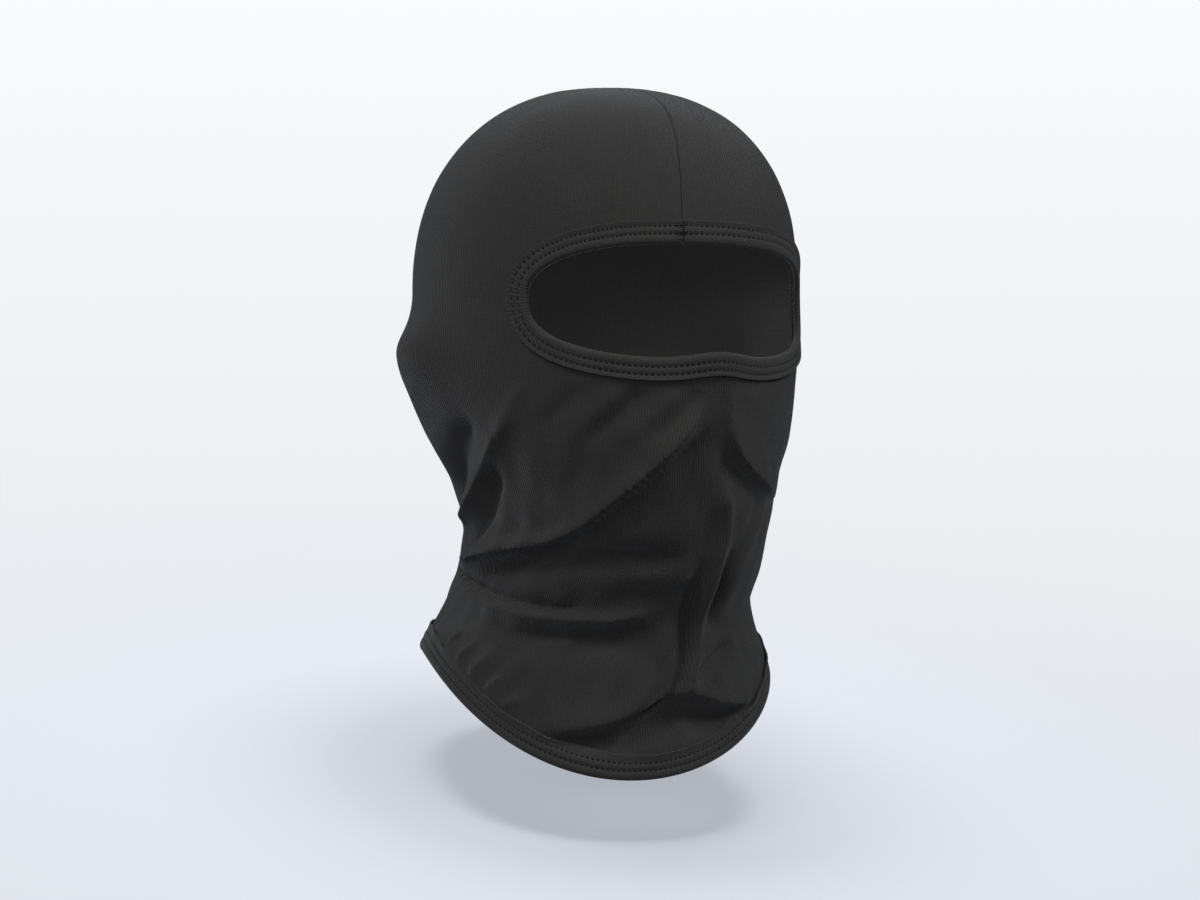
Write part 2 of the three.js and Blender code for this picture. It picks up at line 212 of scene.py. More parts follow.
# The folds of the slack cloth, from the eye opening down: the right cheek and jaw, the face, the front of
# the neck, the bib, then the left side and the nape.
FOLDS = [
    # Right jaw: a thin ridge from the cheek to the side of the neck, with hollows behind and under it.
    dict(path=[(-57, 136), (-68, 150), (-77, 161), (-90, 174), (-106, 184), (-124, 194)],
         crest=5.0, near=4.6, far=3.4, lean=0.8, peak=1.4),
    dict(path=[(-76, 142), (-86, 153), (-96, 163), (-107, 173), (-118, 183)],
         crest=-6.0, near=5.0, far=7.0),
    dict(path=[(-72, 160), (-80, 173), (-87, 183), (-98, 194), (-112, 203)], crest=-6.0, near=6.0, far=4.0),
    # The long fold from beside the nose across the jaw to the side of the neck.
    dict(path=[(-2, 132), (-9, 145), (-18, 158), (-33, 174), (-48, 188), (-62, 194), (-80, 198), (-98, 203),
               (-118, 208)], crest=6.0, near=7.0, far=3.2, lean=2.0, peak=1.3, ends=0.16),
    dict(path=[(1, 142), (-8, 156), (-19, 169.5), (-32, 182), (-46, 193), (-62, 200), (-82, 205)],
         crest=-4.4, near=4.0, far=6.0, ends=0.2),
    dict(path=[(-48, 181), (-58, 188), (-72, 190), (-88, 193)], crest=-2.6, near=5.0, far=3.0),
    # The thin fold down the left cheek.
    dict(path=[(3, 126), (4.5, 137), (6, 149), (10, 157), (17, 163.5), (29, 171), (41, 176), (54, 180)],
         crest=3.6, near=2.2, far=9.0, lean=-0.8, peak=1.3, ends=0.34),
    dict(path=[(2, 151), (6, 161), (13, 168.5), (26, 177), (40, 183)],
         crest=-1.6, near=5.0, far=2.6),
    dict(path=[(22, 150), (30, 159), (38, 169)], crest=-1.5, near=4.0, far=4.0),
    # The long soft fold down the front of the neck and the dark hollow beside it.
    dict(path=[(3, 168), (7, 177), (8.5, 190), (7, 203), (5.5, 218), (4, 234), (2, 250), (3, 264)],
         crest=5.4, near=6.0, far=5.0, lean=-0.4, ends=0.16),
    dict(path=[(2, 198), (0.5, 214), (0.5, 231), (-0.5, 245), (-3.5, 256), (-12, 267), (-25, 275)],
         crest=-5.6, near=4.6, far=3.4, ends=0.24),
    dict(path=[(-5, 226), (-6, 238), (-8, 250)], crest=1.8, near=7.0, far=4.0, ends=0.4),
    dict(path=[(17, 186), (16, 208), (14, 226), (13, 240)],
         crest=-4.0, near=4.0, far=7.0, ends=0.3),
    # Across the neck: a soft hollow, then a crease with a rounded fold under it and a hollow below that.
    dict(path=[(-4, 201), (-18, 201), (-38, 200.5), (-54, 202), (-72, 206), (-94, 211)],
         crest=-5.6, near=5.0, far=7.0, ends=0.2),
    dict(path=[(-34, 216), (-22, 217), (-10, 217), (0, 214)], crest=-2.6, near=4.0, far=4.0),
    dict(path=[(-34, 223.5), (-50, 224), (-62, 223), (-77, 220.5), (-98, 216), (-126, 210)],
         crest=-4.8, near=2.8, far=1.4, peak=1.4, ends=0.2),
    dict(path=[(-10, 222), (-25, 227), (-41, 228), (-56, 228), (-76, 225.5), (-96, 222)],
         crest=4.4, near=4.0, far=3.4),
    dict(path=[(-10, 229), (-24, 233.5), (-40, 234.5), (-54, 234), (-70, 237)],
         crest=-4.4, near=3.2, far=7.0),
    # Bib: the small crease at its left, the fold that hangs over the hem and the flat hollow under it.
    dict(path=[(23, 239), (16, 242), (10, 246), (5, 250), (1, 256)],
         crest=-3.0, near=1.7, far=2.6, peak=1.5),
    dict(path=[(28, 240), (18, 248), (10, 256)], crest=1.6, near=5.0, far=7.0),
    dict(path=[(36, 262), (25, 265), (12, 262.5), (3, 258), (-4, 258), (-12, 263), (-22, 269),
               (-34, 274), (-48, 276)],
         crest=3.8, near=9.0, far=2.2, lean=1.4, peak=1.5, ends=0.2),
    dict(path=[(38, 269), (25, 273), (12, 272), (2, 270), (-5, 270), (-14, 274), (-24, 278),
               (-36, 281), (-48, 283)],
         crest=-6.0, near=5.0, far=6.5, ends=0.2),
    dict(path=[(-17, 276), (-20, 280), (-22, 285)], crest=1.4, near=2.0, far=2.4),
    # Pulls that fan out from under the eye binding.
    dict(path=[(-56, 128), (-62, 138), (-68, 149)], crest=1.3, near=4.0, far=3.0),
    dict(path=[(-38, 130), (-46, 138), (-55, 149)], crest=-1.3, near=4.0, far=4.0),
    dict(path=[(-28, 129), (-36, 140), (-48, 154)], crest=1.0, near=4.0, far=4.0),
    dict(path=[(-20, 129), (-30, 141), (-42, 155)], crest=-1.3, near=3.6, far=3.6),
    dict(path=[(-10, 129), (-20, 141), (-32, 154)], crest=1.1, near=3.6, far=3.6),
    dict(path=[(-5, 130), (-12, 141), (-24, 154)], crest=-1.2, near=3.0, far=3.6),
    dict(path=[(8, 130), (18, 138), (32, 146)], crest=0.9, near=3.5, far=4.0),
    # Puckers above the hem binding on the right.
    dict(path=[(-84, 236), (-91, 243)], crest=1.9, near=2.0, far=2.0, ends=0.4),
    dict(path=[(-74, 240), (-82, 249)], crest=1.9, near=2.0, far=2.0, ends=0.4),
    dict(path=[(-66, 245), (-74, 254)], crest=1.9, near=2.0, far=2.0, ends=0.4),
    dict(path=[(-58, 252), (-66, 260)], crest=1.9, near=2.0, far=2.0, ends=0.4),
    dict(path=[(-50, 260), (-58, 267)], crest=1.9, near=2.0, far=2.0, ends=0.4),
    # Left side, which hangs much like the right.
    dict(path=[(58, 138), (70, 152), (84, 166), (98, 178), (116, 188)],
         crest=3.6, near=5.0, far=4.0, lean=0.6),
    dict(path=[(80, 146), (94, 160), (108, 174), (124, 186)], crest=-4.4, near=5.0, far=7.0),
    dict(path=[(72, 180), (84, 190), (98, 198), (114, 204), (132, 209)], crest=-3.6, near=5.0, far=6.0),
    dict(path=[(74, 198), (88, 206), (102, 210), (118, 213), (136, 215)], crest=3.4, near=5.0, far=4.0),
    dict(path=[(72, 216), (86, 222), (100, 225), (120, 226)], crest=-3.0, near=5.0, far=4.0),
    dict(path=[(70, 226), (84, 233), (98, 236), (116, 237)], crest=2.4, near=4.0, far=5.0),
    # Nape: the cloth slumps into rolls where the head meets the neck.
    dict(path=[(138, 178), (160, 182), (182, 184), (204, 183), (226, 180)], crest=-3.6, near=8.0, far=6.0),
    dict(path=[(124, 196), (150, 199), (176, 198), (202, 200), (232, 197)],
         crest=3.4, near=5.0, far=4.0, lean=-0.8),
    dict(path=[(128, 206), (150, 209), (180, 208), (210, 210), (236, 208)], crest=-3.2, near=4.0, far=5.0),
    dict(path=[(140, 219), (166, 218), (190, 220), (216, 218)], crest=2.6, near=5.0, far=5.0),
    dict(path=[(150, 229), (172, 231), (196, 228)], crest=-1.8, near=5.0, far=5.0),
]


# The eye opening's finished edge, drawn on the flat cloth: a wide rounded slot whose lower edge rises a
# little over the nose. The angle is 0 over the nose, and a margin leads away from the opening.
eye_drop = 95.0
eye_half_height = 24.0
eye_half_arc = 84.0
eye_power = 2.5
ARC_PER_TURN = (head_half_width + head_half_depth) / 2


def eye_outline(angle):
    across = -eye_half_arc * np.sign(np.sin(angle)) * np.abs(np.sin(angle)) ** (2 / eye_power)
    down = eye_half_height * np.sign(np.cos(angle)) * np.abs(np.cos(angle)) ** (2 / eye_power)
    down = np.where(down > 0, down - 3.0 * bell(across / 18), down)
    return np.stack([across, down], -1)


def eye_place(angle, margin):
    course = eye_outline(angle + 0.01) - eye_outline(angle - 0.01)
    course /= np.linalg.norm(course, axis=-1, keepdims=True)
    spot = eye_outline(angle)
    across = spot[..., 0] + course[..., 1] * margin
    down = spot[..., 1] - course[..., 0] * margin
    return across / ARC_PER_TURN, eye_drop + down


# Distance of a place from the finished edge, negative inside the opening, and the way out of the opening.
def eye_margin(turn, drop):
    edge = eye_outline(np.linspace(0, 2 * math.pi, 721)[:-1])
    spots = np.stack([turn * ARC_PER_TURN, drop - eye_drop], -1)
    gaps = spots[:, None, :] - edge[None, :, :]
    nearest = np.argmin((gaps ** 2).sum(-1), axis=1)
    course = np.roll(edge, -1, axis=0) - np.roll(edge, 1, axis=0)
    course /= np.linalg.norm(course, axis=1, keepdims=True)
    way_out = np.stack([course[nearest, 1], -course[nearest, 0]], -1)
    return (gaps[np.arange(len(spots)), nearest] * way_out).sum(-1), way_out


# Roughly how far a place lies outside the finished edge.
def near_eye_edge(turn, drop):
    wide = np.abs(wrapped(turn)) * ARC_PER_TURN / eye_half_arc
    high = np.abs(drop - eye_drop) / eye_half_height
    size = np.maximum((wide ** eye_power + high ** eye_power) ** (1 / eye_power), 1e-3)
    across_slope = (wide / size) ** (eye_power - 1) / eye_half_arc
    down_slope = (high / size) ** (eye_power - 1) / eye_half_height
    steep = np.hypot(across_slope, down_slope)
    return (size - 1) / np.maximum(steep, 1e-3)


def ease_in(value, start, end):
    share = np.clip((value - start) / (end - start), 0, 1)
    return share * share * (3 - 2 * share)


# Small uneven waves of slack cloth. Each wave goes a whole number of times round the head.
loose = np.random.default_rng(11)
WAVES = [
    (loose.integers(-34, 35), loose.uniform(0.06, 0.34), loose.uniform(0, 2 * math.pi))
    for _ in range(14)
]


def slack(turn, drop):
    total = sum(np.cos(times * turn + rate * drop + start) for times, rate, start in WAVES)
    return total / math.sqrt(len(WAVES))


# How far the cloth stands off the smooth worn surface, and how far it is drawn sideways and down.
def drape(turn, drop):
    across = wrapped(turn) * FLAT_RADIUS
    drop = drop + np.zeros_like(across)
    flat_across, flat_drop = across.ravel(), drop.ravel()
    flat_height = np.zeros_like(flat_across)
    flat_shift = np.zeros(flat_across.shape + (2,))
    once_round = 2 * math.pi * FLAT_RADIUS
    for shape in FOLDS:
        for turned in (0.0, once_round):
            fold((flat_across + turned, flat_drop, flat_height, flat_shift), **shape)
    slackness = 0.05 + 0.33 * ease_in(flat_drop, 112, 175)
    flat_height += slack(flat_across / FLAT_RADIUS, flat_drop) * slackness
    # The bound edges hold the cloth flat.
    calm = ease_in(hem_drop(flat_across / FLAT_RADIUS) - flat_drop, 5, 15)
    calm *= ease_in(near_eye_edge(flat_across / FLAT_RADIUS, flat_drop), 6, 15)
    flat_height *= calm
    flat_shift *= calm[:, None]
    # Above the eye opening the seam is worn a little towards the right.
    drawn = 14.5 * (1 - np.exp(-(np.maximum(flat_drop, 0) / 30) ** 1.3)) * bell(flat_across / 52)
    flat_shift[:, 0] -= drawn * (1 - ease_in(flat_drop, 74, 108))
    return flat_height.reshape(across.shape), flat_shift.reshape(across.shape + (2,))


def cloth(turn, drop):
    height, shift = drape(turn, drop)
    moved_turn = turn + shift[..., 0] / FLAT_RADIUS
    moved_drop = np.maximum(drop + shift[..., 1], 0)
    out = skin_axes(moved_turn, moved_drop)[2]
    return skin(moved_turn, moved_drop) + out * height[..., None]


# Unit vectors of the folded cloth: towards the wearer's left, down, and out.
def cloth_axes(turn, drop):
    step = 0.35
    drop = np.maximum(drop, 2 * step)
    left = cloth(turn + step / FLAT_RADIUS, drop) - cloth(turn - step / FLAT_RADIUS, drop)
    down = cloth(turn, drop + step) - cloth(turn, drop - step)
    left /= np.linalg.norm(left, axis=-1, keepdims=True)
    down /= np.linalg.norm(down, axis=-1, keepdims=True)
    out = np.cross(down, left)
    return left, down, out / np.linalg.norm(out, axis=-1, keepdims=True)


def mesh_object(name, points, faces):
    mesh = bpy.data.meshes.new(name)
    mesh.from_pydata([tuple(point) for point in np.asarray(points) * MM], [], faces)
    mesh.update()
    mesh.polygons.foreach_set("use_smooth", [True] * len(mesh.polygons))
    piece = bpy.data.objects.new(name, mesh)
    bpy.context.scene.collection.objects.link(piece)
    return piece


# The cloth's own coordinates, round and down in millimetres, guide the knit in the material.
def lay_knit(piece, round_and_down):
    uv = piece.data.uv_layers.new(name="knit")
    corner = np.zeros(len(piece.data.loops), dtype=np.int32)
    piece.data.loops.foreach_get("vertex_index", corner)
    uv.data.foreach_set("uv", np.asarray(round_and_down, dtype=np.float32)[corner].ravel())


columns = 448
dome_rows = 84
neck_rows = 168
turns = np.linspace(0, 2 * math.pi, columns, endpoint=False)
dome_drops = dome_drop * (1 - np.cos(np.arange(1, dome_rows + 1) / dome_rows * math.pi / 2))
shares = np.arange(1, neck_rows + 1)[:, None] / neck_rows
neck_drops = dome_drop + shares * (hem_drop(turns)[None, :] - cut_edge - dome_drop)
grid_drops = np.vstack([np.repeat(dome_drops[:, None], columns, axis=1), neck_drops])
grid_turns = np.repeat(turns[None, :], dome_rows + neck_rows, axis=0)


# The smooth form without the rise over ears and nose, from which a turn and drop can be worked back.
def plain_point(turn, drop):
    half_width, half_depth, forward = ring_at(turn, drop)
    return np.stack([half_width * np.sin(turn), -half_depth * np.cos(turn) - forward, crown - drop], -1)


def plain_turn_and_drop(points):
    drop = crown - points[:, 2]
    half_width, half_depth, forward = ring_at(0 * drop, drop)
    wide = np.maximum(half_width, 1e-9)
    deep = np.maximum(half_depth, 1e-9)
    return np.arctan2(points[:, 0] / wide, -(points[:, 1] + forward) / deep), drop


plain = plain_point(grid_turns, grid_drops).reshape(-1, 3)
work = bmesh.new()
top = work.verts.new((0, 0, crown))
grid = [work.verts.new(point) for point in plain]
for row in range(dome_rows + neck_rows - 1):
    for k in range(columns):
        a, b = row * columns + k, row * columns + (k + 1) % columns
        work.faces.new((grid[a], grid[a + columns], grid[b + columns], grid[b]))
for k in range(columns):
    work.faces.new((top, grid[k], grid[(k + 1) % columns]))

# Extra lines of mesh beside the seam, so that its rolled edges are round.
SEAM_MESH_LINES = (0.4, 0.9, 1.6, 2.6)
seam_top_at_eye = eye_drop - eye_half_height
front_seam_end = seam_top_at_eye + 4


def in_seam(point):
    return point.y > 0 or crown - point.z < front_seam_end


for beside in SEAM_MESH_LINES:
    for way in (-1, 1):
        near_seam = [f for f in work.faces if abs(f.calc_center_median().x) < 7]
        near_seam = [f for f in near_seam if in_seam(f.calc_center_median())]
        geometry = {e for f in near_seam for e in f.edges} | {v for f in near_seam for v in f.verts}
        bmesh.ops.bisect_plane(work, geom=list(geometry) + near_seam, dist=1e-5,
                               plane_co=(way * beside, 0, 0), plane_no=(1, 0, 0))


# The eye opening is cut a little outside its finished edge, inside the folded binding.
def near_opening(verts):
    turn, drop = plain_turn_and_drop(np.array([v.co for v in verts]))
    margin, way_out = eye_margin(turn, drop)
    return turn, drop, margin, way_out


face_verts = [v for v in work.verts if v.co.y < -20 and 45 < crown - v.co.z < 145]
margin_of = dict(zip(face_verts, near_opening(face_verts)[2]))
inside = [f for f in work.faces if all(margin_of.get(v, 99) < cut_edge for v in f.verts)]
bmesh.ops.delete(work, geom=inside, context="FACES")
rim = [v for v in work.verts if v.is_boundary and v.co.y < -20 and crown - v.co.z < 150]
for v, turn, drop, margin, way_out in zip(rim, *near_opening(rim)):
    pull = cut_edge - margin
    v.co = plain_point(turn + way_out[0] * pull / ARC_PER_TURN, drop + way_out[1] * pull)

# The seam: the panel parts along the middle, and each edge rolls inwards into an allowance.
LIP_DEPTH = 0.95
ALLOWANCE_DEPTHS = (2.4, 4.1, 5.7)
seam_edges = [e for e in work.edges if all(abs(v.co.x) < 1e-4 for v in e.verts) and len(e.link_faces) == 2]
seam_edges = [e for e in seam_edges if in_seam((e.verts[0].co + e.verts[1].co) / 2)]
bmesh.ops.split_edges(work, edges=seam_edges)
work.verts.ensure_lookup_table()
lips = [v for v in work.verts if v.is_boundary and abs(v.co.x) < 1e-4 and in_seam(v.co)]
side_of = {v: math.copysign(1, sum(f.calc_center_median().x for f in v.link_faces)) for v in lips}
lip_edges = [e for e in work.edges if e.is_boundary and e.verts[0] in side_of and e.verts[1] in side_of]
depth_of = {v: LIP_DEPTH for v in lips}
for depth in ALLOWANCE_DEPTHS:
    made = bmesh.ops.extrude_edge_only(work, edges=lip_edges)["geom"]
    lip_edges = [g for g in made if isinstance(g, bmesh.types.BMEdge) and g.is_boundary]
    fresh = [g for g in made if isinstance(g, bmesh.types.BMVert)]
    lip_edges = [e for e in lip_edges if e.verts[0] in fresh and e.verts[1] in fresh]
    for v in fresh:
        source = next(e.other_vert(v) for e in v.link_edges if e.other_vert(v) not in fresh)
        side_of[v] = side_of[source]
        depth_of[v] = depth
work.verts.index_update()
work.verts.ensure_lookup_table()
places = np.array([v.co for v in work.verts])
turn_of, drop_of = plain_turn_and_drop(places)
side = np.zeros(len(places))
depth = np.zeros(len(places))
for v, way in side_of.items():
    side[v.index] = way
    depth[v.index] = depth_of[v]
at_back = np.abs(turn_of) > math.pi / 2
turn_of = np.where((side != 0) & at_back, side * math.pi, turn_of)
turn_of = np.where((side != 0) & ~at_back, 0.0, turn_of)

# Near the bindings the allowances lie flat, so they get shallow there.
to_hem = hem_drop(turn_of) - drop_of
near_eye = ~at_back & (drop_of > 30)
to_eye = np.where(near_eye, seam_top_at_eye - drop_of, 99)
room = np.clip((np.minimum(to_hem - 10, to_eye - 9) - 0.5) / 6, 0, 1)
depth = np.where(depth > 1, LIP_DEPTH + (depth - LIP_DEPTH) * room, depth)
beside = np.abs(places[:, 0])
seam_zone = (side == 0) & (beside < 3) & (at_back | (drop_of < front_seam_end))
roll = np.where(seam_zone, np.clip(1 - beside / 1.6, 0, 1), 0)
slide = np.where(side != 0, side * 0.07, -np.sign(places[:, 0]) * 0.5 * roll ** 2 * (beside > 0))
slide = np.where(seam_zone & (beside < 0.6), -0.2 * np.sign(places[:, 0]), slide)
rise = -depth - 0.52 * roll ** 2.4
left, down, out = cloth_axes(turn_of, drop_of)
facing = np.where(at_back, -1.0, 1.0)[:, None]
final = cloth(turn_of, drop_of) + out * rise[:, None] + left * facing * slide[:, None]
for v, point in zip(work.verts, final):
    v.co = point
mesh = bpy.data.meshes.new("panel")
bmesh.ops.recalc_face_normals(work, faces=work.faces)
work.to_mesh(mesh)
work.free()
mesh.transform(((MM, 0, 0, 0), (0, MM, 0, 0), (0, 0, MM, 0), (0, 0, 0, 1)))
mesh.polygons.foreach_set("use_smooth", [True] * len(mesh.polygons))
panel = bpy.data.objects.new("panel", mesh)
bpy.context.scene.collection.objects.link(panel)

# How far down the cloth each place lies, along the dome and then straight on.
DOME_RUN = 142
dome_run = DOME_RUN * np.arccos(np.clip(1 - drop_of / dome_drop, -1, 1)) / (math.pi / 2)
knit_run = np.where(drop_of < dome_drop, dome_run, DOME_RUN + drop_of - dome_drop)
lay_knit(panel, np.stack([turn_of * FLAT_RADIUS, knit_run + depth], -1))

# Jersey for the panel and both bindings: fine wales run down the cloth, each a column of small loops, with
# the slight unevenness of circular knitting and a dull fibre sheen. Shade is painted into the grooves
# between the loops.
WALE = 1.15
COURSE = 0.8


def jersey(name, colour, wale_depth, grain_depth):
    material = bpy.data.materials.new(name)
    material.use_nodes = True
    nodes, links = material.node_tree.nodes, material.node_tree.links
    shader = nodes["Principled BSDF"]
    shader.inputs["Roughness"].default_value = 0.82
    shader.inputs["Specular IOR Level"].default_value = 0.28
    shader.inputs["Sheen Weight"].default_value = 0.16
    shader.inputs["Sheen Roughness"].default_value = 0.42
    shader.inputs["Sheen Tint"].default_value = (0.82, 0.86, 0.95, 1)
    knit = nodes.new("ShaderNodeUVMap")
    knit.uv_map = "knit"
    wales = nodes.new("ShaderNodeTexWave")
    wales.bands_direction = "X"
    wales.inputs["Scale"].default_value = 2 * math.pi / (20 * WALE)
    wales.inputs["Distortion"].default_value = 1.1
    wales.inputs["Detail"].default_value = 1.0
    wales.inputs["Detail Scale"].default_value = 0.35
    courses = nodes.new("ShaderNodeTexWave")
    courses.bands_direction = "Y"
    courses.inputs["Scale"].default_value = 2 * math.pi / (20 * COURSE)
    courses.inputs["Distortion"].default_value = 1.6
    courses.inputs["Detail Scale"].default_value = 0.5
    links.new(knit.outputs["UV"], wales.inputs["Vector"])
    links.new(knit.outputs["UV"], courses.inputs["Vector"])
    place = nodes.new("ShaderNodeTexCoord")
    grain = nodes.new("ShaderNodeTexNoise")
    grain.inputs["Scale"].default_value = 1300
    grain.inputs["Detail"].default_value = 2
    links.new(place.outputs["Object"], grain.inputs["Vector"])
    cloud = nodes.new("ShaderNodeTexNoise")
    cloud.inputs["Scale"].default_value = 34
    cloud.inputs["Detail"].default_value = 4
    links.new(place.outputs["Object"], cloud.inputs["Vector"])
    loops = nodes.new("ShaderNodeMath")
    loops.operation = "MULTIPLY"
    soft_courses = nodes.new("ShaderNodeMapRange")
    soft_courses.inputs["To Min"].default_value = 0.55
    links.new(courses.outputs["Fac"], soft_courses.inputs["Value"])
    links.new(wales.outputs["Fac"], loops.inputs[0])
    links.new(soft_courses.outputs["Result"], loops.inputs[1])
    deep = nodes.new("ShaderNodeBump")
    deep.inputs["Strength"].default_value = wale_depth
    deep.inputs["Distance"].default_value = 0.0004
    links.new(loops.outputs["Value"], deep.inputs["Height"])
    fine = nodes.new("ShaderNodeBump")
    fine.inputs["Strength"].default_value = grain_depth
    fine.inputs["Distance"].default_value = 0.00016
    links.new(grain.outputs["Fac"], fine.inputs["Height"])
    links.new(deep.outputs["Normal"], fine.inputs["Normal"])
    links.new(fine.outputs["Normal"], shader.inputs["Normal"])
    tone = nodes.new("ShaderNodeMix")
    tone.data_type = "RGBA"
    tone.inputs["A"].default_value = (*[0.86 * c for c in colour], 1)
    tone.inputs["B"].default_value = (*[1.14 * c for c in colour], 1)
    links.new(cloud.outputs["Fac"], tone.inputs["Factor"])
    flecks = nodes.new("ShaderNodeMix")
    flecks.data_type = "RGBA"
    flecks.blend_type = "MULTIPLY"
    flecks.inputs["Factor"].default_value = 0.45
    # Painted shade: the colour is multiplied by the loop pattern, so it is darker in the grooves between
    # the loops.
    painted_groove_shade = nodes.new("ShaderNodeMix")
    painted_groove_shade.data_type = "RGBA"
    painted_groove_shade.blend_type = "MULTIPLY"
    painted_groove_shade.inputs["Factor"].default_value = 0.30
    links.new(tone.outputs["Result"], painted_groove_shade.inputs["A"])
    links.new(loops.outputs["Value"], painted_groove_shade.inputs["B"])
    links.new(painted_groove_shade.outputs["Result"], flecks.inputs["A"])
    links.new(grain.outputs["Fac"], flecks.inputs["B"])
    links.new(flecks.outputs["Result"], shader.inputs["Base Color"])
    return material


def thicken(piece, thickness, offset):
    cloth_side = piece.modifiers.new("thickness", "SOLIDIFY")
    cloth_side.thickness = thickness * MM
    cloth_side.offset = offset
    bpy.ops.object.select_all(action="DESELECT")
    bpy.context.view_layer.objects.active = piece
    piece.select_set(True)
    bpy.ops.object.modifier_apply(modifier="thickness")


FABRIC = 0.7
black_jersey = jersey("black_jersey", colour=(0.060, 0.0595, 0.058), wale_depth=0.8, grain_depth=0.35)
panel.data.materials.append(black_jersey)
thicken(panel, FABRIC, -1)
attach(panel, "root")
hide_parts("body_panel")

# ==== Eye and hem bindings ====
# Two straight strips of the same jersey, folded lengthwise round the panel's raw edges and sewn through
# with a two-needle coverstitch. The rows pull the strip down into two grooves and leave its edges raised.
EYE_BINDING = 9.0
HEM_BINDING = 10.0
FIRST_ROW = 3.7
SECOND_ROW = 6.9
STITCH = 2.3
FIRST_STITCH = 1.2
ROW_HEIGHT = 0.6
STRIP_THICKNESS = 0.66


def strip_profile(width):
    outer = [(width + 0.25, 1.12), (width - 0.35, 1.04), (width - 1.2, 0.8), (SECOND_ROW, ROW_HEIGHT),
             (6.1, 0.78), (5.3, 0.84), (4.5, 0.78), (FIRST_ROW, ROW_HEIGHT), (2.8, 0.82), (1.7, 0.92),
             (0.7, 0.7), (0.1, 0.2)]
    inner = [(-0.08, -0.4), (0.1, -0.95), (0.7, -1.4), (1.8, -1.62), (FIRST_ROW, -1.3), (5.3, -1.6),
             (SECOND_ROW, -1.3), (width - 1.0, -1.5), (width - 0.3, -1.62)]
    return smooth_path(outer + inner, 52)


def even_places(curve, low, high, spacing):
    fine = np.linspace(low, high, 6001)
    steps = np.linalg.norm(np.diff(curve(fine), axis=0), axis=1)
    run = np.concatenate([[0], np.cumsum(steps)])
    count = int(run[-1] / spacing) + 1
    spots = np.linspace(0, run[-1], count)
    return np.interp(spots, run, fine), spots


def eye_course(angle):
    turn, drop = eye_place(angle, 0)
    return skin(turn, drop)


def hem_place(turn, margin):
    return turn, hem_drop(turn) - margin


def hem_course(turn):
    return skin(turn, hem_drop(turn))


# A place beside a finished edge, and the way out of the cloth there.
def edge_spot(place, at, margin):
    turn, drop = np.broadcast_arrays(*place(at, margin))
    return cloth(turn, drop), cloth_axes(turn, drop)[2]


def on_edge(place, at, margin, height):
    spot, out = edge_spot(place, at, margin)
    return spot + out * np.asarray(height)[..., None]


# Whole stitches along a run of edge, centred between its two ends.
def stitch_starts(run):
    sewn_run = run[-1] - 2 * FIRST_STITCH
    count = int(sewn_run / STITCH)
    return FIRST_STITCH + (sewn_run - count * STITCH) / 2 + np.arange(count) * STITCH


# A strip sinks a little at each stitch, and waves slightly where the stretched edge relaxes.
def bound_strip(name, place, at, run, width, lift):
    outline = strip_profile(width)
    margin, height = outline[None, :, 0], outline[None, :, 1]
    rows = bell((margin - FIRST_ROW) / 0.75) + bell((margin - SECOND_ROW) / 0.75)
    sunk = (0.5 - 0.5 * np.cos(2 * math.pi * (run[:, None] - stitch_starts(run)[0]) / STITCH)) ** 1.5
    shape = height - 0.36 * rows * sunk * (height > 0)
    wave = 0.13 * np.sin(run[:, None] / 5.3) + 0.09 * np.sin(run[:, None] / 2.9 + 1)
    shape = shape + (wave * (margin / width) + lift(at[:, None], margin)) * (height > 0)
    points = on_edge(place, at[:, None], margin, shape)
    count, across = points.shape[:2]
    faces = []
    for i in range(count - 1):
        for k in range(across - 1):
            a = i * across + k
            faces.append((a, a + 1, a + across + 1, a + across))
    piece = mesh_object(name, points.reshape(-1, 3), faces)
    steps = np.linalg.norm(np.diff(outline, axis=0), axis=1)
    width_run = np.concatenate([[0], np.cumsum(steps)])
    knit = np.stack(np.broadcast_arrays(run[:, None], width_run[None, :]), -1).reshape(-1, 2)
    lay_knit(piece, knit)
    thicken(piece, STRIP_THICKNESS, 0)
    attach(piece, "root")
    return piece, run[-1], width_run[-1]


binding_jersey = jersey("binding_jersey", colour=(0.066, 0.0655, 0.064), wale_depth=0.5, grain_depth=0.35)
JOINT_GAP = 0.12
eye_gap_angle = JOINT_GAP / 2 / eye_half_arc
eye_at, eye_run = even_places(eye_course, math.pi + eye_gap_angle, 3 * math.pi - eye_gap_angle, 0.46)
hem_gap_turn = JOINT_GAP / 2 / hem_radius
hem_at, hem_run = even_places(hem_course, -math.pi + hem_gap_turn, math.pi - hem_gap_turn, 0.5)


# Over the crown seam, which it passes at the top of the opening, the eye binding is thicker.
def eye_lift(angle, margin):
    over_seam = bell(wrapped(angle - math.pi) * eye_half_arc / 3.2)
    return 0.85 * over_seam * ease_in(margin, 1.0, 6.0)


# The hem binding's upper edge rolls outwards at the sides of the bib.
def hem_lift(turn, margin):
    rolled = 1.1 * bell((wrapped(turn) - math.radians(-94)) / 0.22)
    rolled = rolled + 0.8 * bell((turn - math.radians(24)) / 0.16)
    rolled = rolled + 0.7 * bell((turn - math.radians(-50)) / 0.14)
    over_seam = 0.6 * bell((math.pi - np.abs(turn)) * hem_radius / 5)
    return (rolled + over_seam) * ease_in(margin, 3.0, 10.0)


for name, place, at, run, width, lift, node in (
    ("eye_strip", eye_place, eye_at, eye_run, EYE_BINDING, eye_lift, "eye_binding"),
    ("hem_strip", hem_place, hem_at, hem_run, HEM_BINDING, hem_lift, "hem_binding"),
):
    strip, strip_length, strip_width = bound_strip(name, place, at, run, width, lift)
    strip.data.materials.append(binding_jersey)
    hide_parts(node)

# ==== Coverstitch ====
# Spun polyester thread. Two needle rows of separate short stitches show on the outside, and one looper
# thread swings from row to row on the inside.
THREAD = 0.5
LOOPER_HALF = 0.2
LOOPER_HEIGHT = -2.12
TACK_REACH = 1.5
TACK_HEIGHT = 1.06


